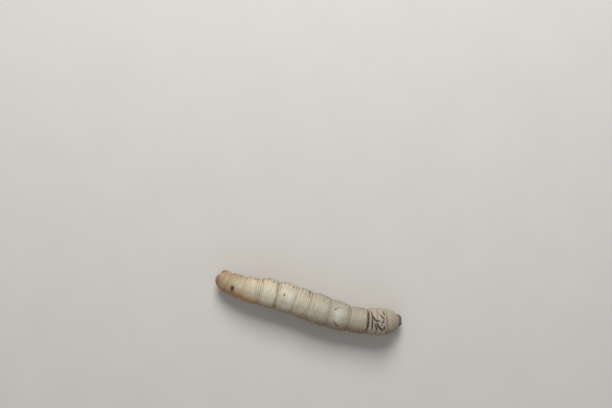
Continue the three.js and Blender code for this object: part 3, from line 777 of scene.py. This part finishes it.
def make_mouth(matrix, shell_paint, jaw_paint, lip_paint):
    mesh, ways = new_ball("upper_lip", 4)
    notch = 0.16 * hump(ways[:, 1], 0.28) * ease(-ways[:, 2], 0.0, 0.6)
    points = oval_points(ways, (0.92, 0, -1.6), (0.42, 0.64, 0.36))
    points[:, 2] += notch
    points[:, 0] -= 0.05 * hump(ways[:, 1], 0.16)
    write_points(mesh, in_frame(points, matrix))
    write_value(mesh, "place", points)
    write_value(mesh, "groove", hump(ways[:, 1], 0.2) * 0.5)
    finish_piece("upper_lip", mesh, shell_paint, ["lip"])

    for name, side in (("left", 1), ("right", -1)):
        mesh, ways = new_ball(f"toothed_jaw_{name}", 4)
        points = oval_points(ways, (0.74, side * 0.62, -1.72), (0.48, 0.44, 0.56))
        edge = ease(-ways[:, 2], 0.45, 0.85) * ease(ways[:, 0], -0.1, 0.4)
        points[:, 2] += 0.11 * edge * (0.5 + 0.5 * np.cos(ways[:, 1] * 15))
        points[:, 0] += 0.08 * edge
        write_points(mesh, in_frame(points, matrix))
        write_value(mesh, "place", points)
        finish_piece(f"toothed_jaw_{name}", mesh, jaw_paint, [f"jaw_{name}"])

    mesh, ways = new_ball("under_lip", 4)
    points = oval_points(ways, (-0.1, 0, -1.62), (0.6, 0.82, 0.5))
    points[:, 2] += 0.09 * hump(np.abs(ways[:, 1]) - 0.38, 0.12) * ease(-ways[:, 2], 0.1, 0.7)
    meshes = [mesh]
    write_points(mesh, in_frame(points, matrix))
    write_value(mesh, "share", ease(-ways[:, 2], 0.0, 1.0) * 0.4)
    spouts = [
        ((0.0, 0, -1.95), (0.03, 0, -2.2), (0.08, 0, -2.42), [(0, 0), (0.02, 0.2), (0.5, 0.15), (0.96, 0.07), (1, 0)])
    ]
    jointed = [(0, 0), (0.02, 0.24), (0.33, 0.23), (0.36, 0.17), (0.62, 0.17), (0.66, 0.12), (0.93, 0.1), (1, 0)]
    for side in (1, -1):
        spouts.append(((0.05, 0.48 * side, -1.9), (0.12, 0.5 * side, -2.13), (0.2, 0.47 * side, -2.36), jointed))
    for first, middle, last, sizes in spouts:
        mesh, share, round_share = new_grid("spout", 20, 14)
        places = [np.array(place) for place in (first, middle, last)]
        points = limb_points(share, round_share, places, np.array([1.0, 0, 0]), steps(sizes))
        write_points(mesh, in_frame(points, matrix))
        write_value(mesh, "share", 0.4 + share * 0.6)
        close_seams(mesh, 0.002)
        meshes.append(mesh)
    finish_piece("under_lip", joined("under_lip", meshes), lip_paint, ["lower_lip"])


def make_feelers(matrix, paint):
    sizes = [
        (0, 0), (0.02, 0.3), (0.28, 0.31), (0.34, 0.24), (0.36, 0.24), (0.62, 0.25), (0.67, 0.18), (0.7, 0.18),
        (0.94, 0.15), (0.99, 0.08), (1, 0),
    ]
    for name, side in (("left", 1), ("right", -1)):
        root = np.array([0.8, side * 1.2, -1.02])
        tip = np.array([1.42, side * 1.78, -1.5])
        middle = (root + tip) / 2 + np.array([0.05, side * 0.03, 0.05])
        make_limb(
            f"short_feeler_{name}", 40, 18, (root, middle, tip), np.array([0, 0, 1.0]), steps(sizes),
            paint, [f"feeler_{name}"], matrix,
        )


# Six lenses on each side of the head: four in a bow and two below.
EYES = {"turn": 62, "drop": -24, "spread": 0.36, "lens": 0.15}


def make_eyes(matrix, paint):
    turn, drop = math.radians(EYES["turn"]), math.radians(EYES["drop"])
    for name, side in (("left", 1), ("right", -1)):
        out = np.array([math.cos(turn) * math.cos(drop), side * math.sin(turn) * math.cos(drop), math.sin(drop)])
        crown = np.array([0, 0, 1.0]) - out * out[2]
        crown /= np.linalg.norm(crown)
        around = np.cross(crown, out)
        reach = 1 / np.linalg.norm(out / np.array(LOBES[0][1]))
        centre = out * reach + np.array([0, side * 0.6, 0])
        meshes = []
        for i in range(6):
            angle = math.radians(-20 + i * 50 if i < 4 else 205 + (i - 4) * 70)
            flat = around * EYES["spread"] * math.cos(angle) * side + crown * EYES["spread"] * math.sin(angle)
            way = centre + flat - HEAD_CENTRE
            surface = capsule_surface((way / np.linalg.norm(way))[None, :])[0]
            mesh, share, round_share = new_grid("lens", 9, 16)
            ring = round_share * 2 * np.pi
            size = EYES["lens"] * np.sin(share * 0.62 * np.pi)
            height = EYES["lens"] * 0.6 * np.cos(share * 0.62 * np.pi) - 0.03
            points = (
                surface
                + np.outer(size * np.cos(ring), around * side)
                + np.outer(size * np.sin(ring), crown)
                + np.outer(height, out)
            )
            write_points(mesh, in_frame(points, matrix))
            write_value(mesh, "share", share)
            close_seams(mesh, 0.002)
            meshes.append(mesh)
        made = finish_piece(f"eye_lenses_{name}", joined(f"eye_lenses_{name}", meshes), paint, [f"eye_{name}"])
        face_outward(made.data)


def face_outward(mesh):
    whole = bmesh.new()
    whole.from_mesh(mesh)
    bmesh.ops.recalc_face_normals(whole, faces=whole.faces)
    whole.to_mesh(mesh)
    whole.free()


HOOKS_PER_SOLE = 15
BRISTLES = 620
BRISTLE_SEED = 7
BRISTLE_PATCH = 0.003


def add_spike(sheet, root, way, length, radius, tip=0.0, sides=3):
    """One thin closed spike of a few faces, from its root along a way."""
    turn = Vector(way).to_track_quat("Z", "Y").to_matrix()
    place = Matrix.Translation(Vector(root) + Vector(way).normalized() * length / 2) @ turn.to_4x4()
    done = len(sheet.faces)
    bmesh.ops.create_cone(
        sheet, cap_ends=True, segments=sides, radius1=radius, radius2=tip, depth=length, matrix=place
    )
    sheet.faces.ensure_lookup_table()
    return sheet.faces[done:]


def spikes_mesh(name, sheet):
    bmesh.ops.scale(sheet, vec=(MM, MM, MM), verts=sheet.verts)
    return mesh_of(name, sheet)


def make_sole_hooks(paint):
    """A bow of small dark hooks on the inner edge of each sole."""
    sheet = bmesh.new()
    for _, _, _, foot, radii, inward in false_legs():
        ahead = np.cross(inward, [0, 0, 1.0])
        for i in range(HOOKS_PER_SOLE):
            angle = math.radians(-84 + i * 12)
            way = inward * math.cos(angle) + ahead * math.sin(angle)
            root = foot + way * radii[-1] * 0.86 + np.array([0, 0, 0.3])
            add_spike(sheet, root, way * 0.5 - np.array([0, 0, 1.0]), 0.26, 0.045, 0.012, 4)
    finish_piece("sole_hooks", spikes_mesh("sole_hooks", sheet), paint)


def make_hairs(paint):
    """Sparse short bristles, thickest low on the sides, each with its own spot on a map of the skin."""
    rng = np.random.default_rng(BRISTLE_SEED)
    sheet = bmesh.new()
    spots = sheet.loops.layers.uv.new("OFBake")
    for _ in range(BRISTLES):
        distance = rng.uniform(0.8, BODY_LENGTH - 0.3)
        turn = rng.choice([-1, 1]) * (rng.uniform(62, 168) if rng.random() < 0.72 else rng.uniform(4, 62))
        root, outward, forward, around = skin_place(distance, turn)
        lean = rng.uniform(-0.5, 0.35) * forward + rng.uniform(-0.4, 0.4) * around
        length = rng.uniform(0.18, 0.32) if abs(turn) < 110 else rng.uniform(0.25, 0.5)
        faces = add_spike(sheet, root - outward * 0.03, outward + lean, length, 0.009, 0.002)
        spot = Vector((distance / BODY_LENGTH, 0.5 + turn / 360))
        for face in faces:
            for loop, shift in zip(face.loops, ((0, 0), (1, 0), (1, 1), (0, 1))):
                loop[spots].uv = spot * 0.99 + Vector(shift) * BRISTLE_PATCH
    finish_piece("bristles", spikes_mesh("bristles", sheet), paint)


class Sum:
    """A node's output that takes part in sums as a number does."""

    def __init__(self, paint, socket):
        self.paint = paint
        self.socket = socket

    def _with(self, operation, first, second):
        return self.paint.make("ShaderNodeMath", {"operation": operation}, {0: first, 1: second})

    def __add__(self, other):
        return self._with("ADD", self, other)

    def __radd__(self, other):
        return self._with("ADD", other, self)

    def __sub__(self, other):
        return self._with("SUBTRACT", self, other)

    def __rsub__(self, other):
        return self._with("SUBTRACT", other, self)

    def __mul__(self, other):
        return self._with("MULTIPLY", self, other)

    def __rmul__(self, other):
        return self._with("MULTIPLY", other, self)

    def over(self, low, high):
        """Rises smoothly from 0 to 1 between two values."""
        settings = {"interpolation_type": "SMOOTHSTEP"}
        return self.paint.make("ShaderNodeMapRange", settings, {"Value": self, "From Min": low, "From Max": high})


class Paint:
    """One material and the nodes that colour it."""

    def __init__(self, name, **constants):
        self.material = bpy.data.materials.new(name)
        self.material.use_nodes = True
        self.tree = self.material.node_tree
        self.shader = self.tree.nodes["Principled BSDF"]
        for key, value in constants.items():
            self.shader.inputs[key.replace("_", " ")].default_value = value

    def make(self, kind, settings, inputs, output=0):
        made = self.tree.nodes.new(kind)
        for key, value in settings.items():
            setattr(made, key, value)
        for key, value in inputs.items():
            if isinstance(value, Sum):
                self.tree.links.new(value.socket, made.inputs[key])
            else:
                made.inputs[key].default_value = value
        return Sum(self, made.outputs[output])

    def value(self, name):
        return self.make("ShaderNodeAttribute", {"attribute_name": name}, {}, 2)

    def place(self, name):
        return self.make("ShaderNodeAttribute", {"attribute_name": name}, {}, 1)

    def own_place(self):
        return self.make("ShaderNodeTexCoord", {}, {}, 3)

    def stretched(self, place, scale):
        return self.make("ShaderNodeMapping", {}, {"Vector": place, "Scale": scale})

    def cloud(self, place, scale, detail=4.0, rough=0.55, warp=0.0):
        inputs = {"Vector": place, "Scale": scale, "Detail": detail, "Roughness": rough, "Distortion": warp}
        return self.make("ShaderNodeTexNoise", {}, inputs)

    def cells(self, place, scale):
        return self.make("ShaderNodeTexVoronoi", {}, {"Vector": place, "Scale": scale})

    def mix(self, share, first, second):
        return self.make("ShaderNodeMix", {"data_type": "RGBA"}, {0: share, 6: first, 7: second}, 2)

    def finish(self, colour=None, rough=None, height=None, depth=1.0):
        if colour is not None:
            self.tree.links.new(colour.socket, self.shader.inputs["Base Color"])
        if rough is not None:
            self.tree.links.new(rough.socket, self.shader.inputs["Roughness"])
        if height is not None:
            bump = self.make("ShaderNodeBump", {}, {"Height": height, "Distance": depth * MM})
            self.tree.links.new(bump.socket, self.shader.inputs["Normal"])
        return self.material


def tone(red, green, blue):
    """A colour given by its shares of 255."""
    return tuple(
        c / 12.92 if c <= 0.04045 else ((c + 0.055) / 1.055) ** 2.4 for c in (red / 255, green / 255, blue / 255)
    ) + (1.0,)


def skin_paint():
    paint = Paint("skin_paint", Subsurface_Weight=0.22, Subsurface_Radius=(1.0, 0.6, 0.35), Subsurface_Scale=0.0012)
    lie = paint.place("lie")
    broad = paint.cloud(lie, 0.32, 2.0)
    patchy = paint.cloud(lie, 1.1, 3.0)
    streaks = paint.cloud(paint.stretched(lie, (2.4, 0.55, 0.55)), 1.0, 4.0, 0.55, 0.4)
    lines = paint.cloud(paint.stretched(lie, (4.6, 0.9, 0.9)), 1.0, 3.0, 0.5, 0.5)
    grain = paint.cloud(lie, 9.0, 3.0, 0.6)
    flank_and_painted_shade = paint.value("flank_and_painted_shade")
    foot = paint.value("foot")
    middle_line = 1 - paint.value("middle_line").over(0.12, 0.42)
    # The flank mask is brown pigment on the low left flank and painted shade over the right side; the streaks and
    # lines below follow it, so they carry that painted shade too.
    low = flank_and_painted_shade * (0.65 + patchy * 0.5)
    layers = (
        (paint.value("front") * 0.8, (156, 155, 144)),
        (paint.value("rear") * 0.85, (162, 148, 116)),
        (patchy.over(0.5, 0.72) * 0.35, (158, 160, 142)),
        (paint.value("pale") * (0.45 + patchy * 0.45), (218, 222, 218)),
        (streaks.over(0.4, 0.75) * (0.28 + flank_and_painted_shade * 0.4), (138, 112, 82)),
        # Low flanks browner: pigment on the left, painted shade on the right.
        (low.over(0.0, 1.0) * 0.85, (134, 107, 76)),
        (paint.value("ochre") * (0.7 + patchy * 0.4), (186, 130, 62)),
        (paint.value("straw") * (0.25 + patchy * 0.5), (188, 168, 118)),
        (lines.over(0.52, 0.72) * (0.12 + flank_and_painted_shade * 0.22), (100, 74, 50)),
        (middle_line * 0.18, (128, 138, 136)),
        ((1 - lines.over(0.26, 0.46)) * (0.3 - flank_and_painted_shade * 0.2), (222, 212, 190)),
        (paint.value("tail") * (0.7 + patchy * 0.4), (150, 112, 88)),
        (foot.over(0.25, 0.95) * 0.7, (164, 134, 98)),
        (foot.over(1.05, 1.4) * 0.55, (132, 98, 68)),
        (paint.value("ridge") * 0.6, (176, 162, 152)),
        (paint.value("pink") * 0.7, (178, 112, 96)),
        (paint.value("green") * 0.55, (140, 152, 118)),
        (paint.value("rose") * 0.5, (172, 96, 104)),
        # Creases and folds darkened brown: partly pigment, partly painted shade.
        (paint.value("crease_pigment_and_shade").over(0.08, 0.8) * (0.45 + streaks * 0.6), (98, 64, 38)),
        # Folds behind the head darkened: partly pigment, partly painted shade.
        (paint.value("back_fold_pigment_and_shade").over(0.06, 0.8) * 0.92, (58, 38, 36)),
        (paint.value("mark").over(0.2, 0.7) * (0.6 + grain * 0.5), (52, 38, 30)),
        (grain.over(0.35, 0.75) * 0.16, (112, 96, 74)),
    )
    colour = paint.mix(broad.over(0.35, 0.68), tone(214, 204, 180), tone(200, 194, 174))
    for share, shade in layers:
        colour = paint.mix(share, colour, tone(*shade))

    rough = 0.42 + grain * 0.16 + streaks * 0.1
    height = streaks * 0.5 + lines * 0.3 + grain * 0.12 + paint.cells(lie, 6.0) * 0.14
    return paint.finish(colour, rough, height, 0.15)


def horn_paint():
    paint = Paint("horn_paint", Coat_Weight=0.25, Coat_Roughness=0.3)
    share = paint.value("share")
    own = paint.own_place()
    speck = paint.cloud(own, 2600.0, 4.0)
    colour = paint.mix(speck.over(0.35, 0.7), tone(128, 92, 54), tone(94, 62, 34))
    colour = paint.mix((1 - share.over(0.12, 0.34)) * 0.7, colour, tone(156, 132, 98))
    colour = paint.mix((share + speck * 0.2).over(0.36, 0.68), colour, tone(40, 24, 15))
    return paint.finish(colour, 0.35 + speck * 0.2, speck, 0.08)


def shell_paint(name, light, dark, line):
    paint = Paint(name, Coat_Weight=0.3, Coat_Roughness=0.25)
    own = paint.own_place()
    mottle = paint.cloud(own, 900.0, 4.0)
    speck = paint.cloud(own, 3600.0, 3.0)
    net = paint.cells(own, 5200.0)
    colour = paint.mix(mottle.over(0.38, 0.66), light, dark)
    colour = paint.mix(speck.over(0.5, 0.72) * 0.45, colour, line)
    colour = paint.mix(paint.value("groove").over(0.2, 0.8) * 0.85, colour, line)
    return paint.finish(colour, 0.34 + net * 0.2, net * 0.5 + speck * 0.3, 0.05)


def limb_paint(name, light, dark, bands, root_share=0.0):
    paint = Paint(name, Coat_Weight=0.3, Coat_Roughness=0.25)
    share = paint.value("share")
    own = paint.own_place()
    mottle = paint.cloud(own, 1100.0, 4.0)
    speck = paint.cloud(own, 4200.0, 3.0)
    colour = paint.mix((mottle * 0.6 + share * 0.6).over(0.3, 0.8), light, dark)
    colour = paint.mix((1 - (share + mottle * 0.2).over(0.2, 0.5)) * root_share, colour, tone(176, 158, 124))
    for at, width in bands:
        near = 1 - paint.make("ShaderNodeMath", {"operation": "ABSOLUTE"}, {0: share - at}).over(width * 0.4, width)
        colour = paint.mix(near * 0.5, colour, tone(84, 52, 30))
    colour = paint.mix(speck.over(0.5, 0.75) * 0.3, colour, tone(92, 56, 30))
    return paint.finish(colour, 0.32 + speck * 0.22, speck * 0.5 + mottle * 0.4, 0.06)


def dark_paint(name, light, dark, rough):
    paint = Paint(name, Coat_Weight=0.6, Coat_Roughness=0.12)
    own = paint.own_place()
    mottle = paint.cloud(own, 2200.0, 4.0)
    colour = paint.mix(mottle.over(0.35, 0.7), light, dark)
    return paint.finish(colour, rough + mottle * 0.12, mottle, 0.04)


def hole_paint():
    paint = Paint("hole_paint", Coat_Weight=0.3)
    share = paint.value("share")
    speck = paint.cloud(paint.own_place(), 5000.0, 3.0)
    colour = paint.mix(share.over(0.3, 0.48), tone(20, 12, 10), tone(112, 78, 48))
    colour = paint.mix((share + speck * 0.1).over(0.78, 0.98), colour, tone(206, 190, 152))
    return paint.finish(colour, 0.4 + speck * 0.2, speck, 0.04)


def place_camera():
    """Looks down on the back, with the head to the right and the tail to the left."""
    low, high = (Vector(corner) for corner in cad_box)
    middle = (low + high) / 2
    lens = bpy.data.cameras.new("camera")
    lens.lens = LENS_MM
    lens.sensor_width = SENSOR_MM
    lens.clip_start = 0.005
    camera = bpy.data.objects.new("camera", lens)
    bpy.context.collection.objects.link(camera)
    metres_per_pixel = SENSOR_MM / LENS_MM * SIGHT_DISTANCE / FRAME_WIDTH
    across = (MIDDLE_PIXEL[0] - FRAME_MIDDLE[0]) * metres_per_pixel
    down = (MIDDLE_PIXEL[1] - FRAME_MIDDLE[1]) * metres_per_pixel
    tilt = SIGHT_TILT - math.atan2(down, SIGHT_DISTANCE)
    turn = Matrix.Rotation(SLOPE, 3, "Z")
    right = turn @ Vector((1, 0, 0))
    up = turn @ Vector((0, math.cos(tilt), -math.sin(tilt)))
    back = right.cross(up)
    camera.matrix_world = Matrix((right, up, back)).transposed().to_4x4()
    camera.location = middle + back * SIGHT_DISTANCE - right * across + up * down
    bpy.context.scene.camera = camera


def make_floor():
    sheet = bmesh.new()
    bmesh.ops.create_grid(sheet, x_segments=1, y_segments=1, size=2.0)
    mesh = mesh_of("floor", sheet)
    floor = bpy.data.objects.new("floor", mesh)
    bpy.context.collection.objects.link(floor)
    paint = Paint("floor_paint", Roughness=0.7)
    speck = paint.cloud(paint.own_place(), 60.0, 3.0)
    colour = paint.mix(speck, tone(222, 222, 220), tone(214, 214, 212))
    mesh.materials.append(paint.finish(colour))


def add_light(name, power, size, place, aim, colour):
    lamp = bpy.data.lights.new(name, "AREA")
    lamp.energy = power
    lamp.size = size
    lamp.color = colour
    light = bpy.data.objects.new(name, lamp)
    bpy.context.collection.objects.link(light)
    light.location = place
    light.rotation_euler = (Vector(aim) - Vector(place)).to_track_quat("-Z", "Y").to_euler()


def light_scene():
    world = bpy.data.worlds.new("world")
    bpy.context.scene.world = world
    world.use_nodes = True
    sky = world.node_tree.nodes["Background"]
    sky.inputs["Color"].default_value = (0.97, 0.95, 0.92, 1)
    sky.inputs["Strength"].default_value = 0.26
    add_light("key", 2.2, 0.22, (-0.08, 0.38, 0.33), (0, 0, 0), (1.0, 0.97, 0.91))
    add_light("fill", 0.3, 0.5, (0.1, -0.45, 0.16), (0, 0, 0), (1.0, 0.94, 0.86))
    bpy.context.scene.view_settings.view_transform = "Standard"


place_camera()
make_floor()
light_scene()

make_skin(skin_paint())
make_breathing_holes(hole_paint())
make_horn(horn_paint())
amber = limb_paint(
    "leg_paint", tone(178, 148, 106), tone(128, 90, 54), ((0.385, 0.025), (0.605, 0.025), (0.79, 0.025)), 0.9
)
claw_dark = dark_paint("claw_paint", tone(60, 32, 18), tone(30, 16, 10), 0.25)
make_true_legs(amber, claw_dark)
head_matrix = head_frame()
capsule_paint = shell_paint("capsule_paint", tone(122, 100, 80), tone(86, 66, 50), tone(46, 30, 22))
make_head(head_matrix, capsule_paint)
make_mouth(head_matrix, capsule_paint, claw_dark, limb_paint("lip_paint", tone(190, 150, 104), tone(120, 78, 44), ()))
feeler_bands = ((0.35, 0.03), (0.685, 0.03))
make_feelers(head_matrix, limb_paint("feeler_paint", tone(170, 130, 88), tone(126, 84, 52), feeler_bands))
make_sole_hooks(claw_dark)
make_hairs(dark_paint("bristle_paint", tone(196, 178, 146), tone(150, 128, 96), 0.45))
make_eyes(head_matrix, dark_paint("lens_paint", tone(34, 22, 16), tone(14, 9, 8), 0.08))
